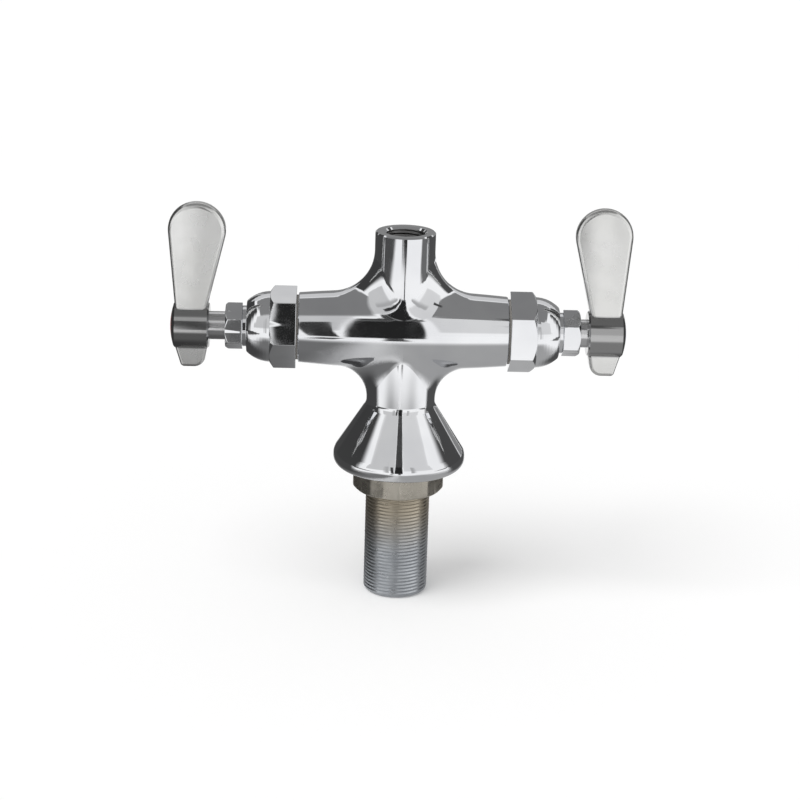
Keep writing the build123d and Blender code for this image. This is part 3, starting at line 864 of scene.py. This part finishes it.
lamp = bpy.data.lights.new("wide_sun", "SUN")
lamp.energy = 1.5
lamp.angle = radians(40)
sun_from = Vector((-0.4, -0.35, 0.85))  # high up, at the left and in front
lamp_object = bpy.data.objects.new("wide_sun", lamp)
lamp_object.rotation_mode = "QUATERNION"
lamp_object.rotation_quaternion = sun_from.to_track_quat("Z", "Y")
lamp_object.visible_glossy = False  # the chrome mirrors the cards, the paper and the world, not the sun
scene.collection.objects.link(lamp_object)
print("world level", plain_level, "and sun", lamp.energy)

# %% [markdown]
# ## Cards for the chrome
# Bright metal in an all-white room turns white all over, so a photographer stands grey and black cards
# round it. The photograph tells where they were: the arms show a dark bar at the middle, so something
# dark stood where the camera was, and both sides of every upright form are dark, so the sides of the room
# were too. The cards here are seen only in reflections, and most of their edges are soft.

# %% How a card is made
hard_edge = 0.001  # the least width of an edge in mm, because a fade needs some width


def card_material(name, brightness, soft_edges):
    """Emission that fades out over a share of the card's width at each edge: left, right, foot, top."""
    material = bpy.data.materials.new(name)
    material.use_nodes = True
    material.cycles.emission_sampling = "NONE"
    tree = material.node_tree
    tree.nodes.remove(tree.nodes["Principled BSDF"])
    on_card = add(tree, "ShaderNodeTexCoord").outputs["UV"]
    uv = add(tree, "ShaderNodeSeparateXYZ", links={0: on_card})
    cover = None
    for edge_side, soft in zip(("left", "right", "foot", "top"), soft_edges):
        along = uv.outputs["X" if edge_side in ("left", "right") else "Y"]
        outer, inner = (0, soft) if edge_side in ("left", "foot") else (1, 1 - soft)
        fade = add(tree, "ShaderNodeMapRange", {"From Min": outer, "From Max": inner}, {"Value": along},
                   interpolation_type="SMOOTHSTEP").outputs[0]
        if cover is not None:
            fade = add(tree, "ShaderNodeMath", links={0: cover, 1: fade}, operation="MULTIPLY").outputs[0]
        cover = fade
    light = add(tree, "ShaderNodeEmission", {"Strength": brightness})
    clear = add(tree, "ShaderNodeBsdfTransparent")
    mixed = add(tree, "ShaderNodeMixShader",
                links={0: cover, 1: clear.outputs[0], 2: light.outputs[0]})
    tree.links.new(mixed.outputs[0], tree.nodes["Material Output"].inputs["Surface"])
    return material


def card(name, facing, at, across, up, soft, brightness, lean=0.0):
    """A card square to the X, Y or Z axis at a place on it, spanning across and up, leaning sideways."""
    spans = (across, across, up, up)
    widths = [max(s, hard_edge) / (high - low) for s, (low, high) in zip(soft, spans)]
    corners = []
    for i, j in ((0, 0), (1, 0), (1, 1), (0, 1)):
        place = [across[i] + lean * (up[j] - up[0]), up[j]]
        place.insert("XYZ".index(facing), at)
        corners.append(place)
    quad = stage_quad(name, corners, card_material(name, brightness, widths))
    quad.visible_camera = False
    quad.visible_diffuse = False
    quad.visible_transmission = False
    quad.visible_volume_scatter = False
    quad.visible_shadow = False


print("a card's edge fades over", hard_edge, "mm at least")

# %% [markdown]
# Each line below is one card: its name, the axis that it is square to and its place on that axis, how far
# it spans across and up, how wide its soft edges are at left, right, foot and top, and how bright it is.
# Places are in millimetres from the point where the shank's axis meets the deck. A card square to the Z
# axis spans X and then Y.

# %% The walls and the ceiling of the room
ground = floor_height + 0.01
wall = 600
ceiling = 700
front = -500
back_top = 480  # lower than the ceiling: the arms' upper flats mirror the lighter card above
card("left_wall", "X", -wall, (-260, 900), (ground, ceiling), (160, 0, 0, 0), 0.05)
card("right_wall", "X", wall, (-120, 600), (ground, ceiling), (160, 80, 0, 0), 0.07)
card("back_left", "Y", 700, (-700, -120), (ground, back_top), (0, 200, 0, 60), 0.06)
card("back_right", "Y", 705, (-200, 700), (ground, back_top), (0, 0, 0, 60), 0.25)
card("back_high", "Y", 710, (-700, 700), (back_top - 80, 1000), (0, 0, 0, 100), 0.66)
card("ceiling", "Z", ceiling, (-560, 560), (-560, 500), (60, 60, 160, 100), 0.23)
card("ceiling_right", "Z", ceiling - 5, (60, 520), (-640, 0), (60, 80, 120, 60), 0.23)
print("room:", 2 * wall, "mm wide, with its ceiling at", ceiling, "mm")

# %% Grey on the floor, seen by the flange and the undersides
# Each lies a hundredth of a millimetre above the one before, so no two share a plane.
card("floor_near_left", "Z", ground, (-260, 0), (-320, 200), (150, 50, 150, 150), 0.18)
card("floor_near_right", "Z", ground + 0.01, (-40, 260), (-320, 200), (50, 150, 150, 150), 0.38)
card("floor_left", "Z", ground + 0.02, (-900, -30), (-80, 900), (0, 80, 80, 0), 0.06)
card("floor_left_front", "Z", ground + 0.03, (-900, -330), (-560, -60), (0, 110, 90, 0), 0.08)
card("floor_right", "Z", ground + 0.04, (60, 700), (-20, 600), (60, 60, 60, 0), 0.08)
card("floor_right_front", "Z", ground + 0.05, (400, 900), (-300, -20), (80, 0, 60, 0), 0.16)
card("floor_line", "Z", ground + 0.06, (-16, 22), (-600, -300), (8, 8, 0, 40), 0.07)
card("floor_nut", "Z", ground + 0.07, (-98, -60), (-450, -310), (6, 6, 10, 10), 0.12)

# %% Cards in front, between the tap and the camera
card("sheet_left", "Y", front - 20, (-900, -75), (110, 900), (100, 10, 60, 200), 0.62)
card("sheet_right", "Y", front - 20, (65, 900), (110, 900), (10, 100, 60, 200), 0.74)
card("front_grey_left", "Y", front, (-270, -150), (-20, 520), (90, 4, 30, 60), 0.45, lean=-0.08)
card("front_grey_right", "Y", front, (175, 300), (-20, 420), (20, 90, 30, 60), 0.45)
card("arm_dark", "Y", front + 5, (-120, -72), (ground, 400), (4, 4, 30, 40), 0.035, lean=-0.07)
card("centre_dark", "Y", front + 5, (-70, 50), (ground, 480), (5, 6, 25, 60), 0.02)
card("centre_top", "Y", front + 4, (-72, 60), (440, 580), (10, 10, 10, 30), 0.06)
card("hub_card", "Y", -130, (86, 106), (165, 280), (4, 4, 10, 40), 0.06)

# %% [markdown]
# ## The camera
# The camera looks at the front of the tap from about 18 degrees above, a little from the left, and leans
# by two degrees, as the photograph's does. These values come from laying the model's outline over the
# photograph's.

# %% The camera
camera_target = Vector((-0.2, 0, 26.3)) * MM
camera_azimuth = radians(-1.81)
camera_elevation = radians(18.05)
camera_distance = 852.1 * MM
camera_roll = radians(1.81)
field_of_view = radians(20.90)

camera = bpy.data.cameras.new("camera")
camera.sensor_width = 36
camera.lens = camera.sensor_width / 2 / tan(field_of_view / 2)
camera_object = bpy.data.objects.new("camera", camera)
back = Vector((
    sin(camera_azimuth) * cos(camera_elevation),
    -cos(camera_azimuth) * cos(camera_elevation),
    sin(camera_elevation),
))
camera_object.location = camera_target + back * camera_distance
camera_object.rotation_mode = "QUATERNION"
level_view = (-back).to_track_quat("-Z", "Y")
camera_object.rotation_quaternion = level_view @ Quaternion((0, 0, 1), camera_roll)
scene.collection.objects.link(camera_object)
scene.camera = camera_object
scene.view_settings.view_transform = "Standard"
print("lens:", round(camera.lens, 1), "mm")
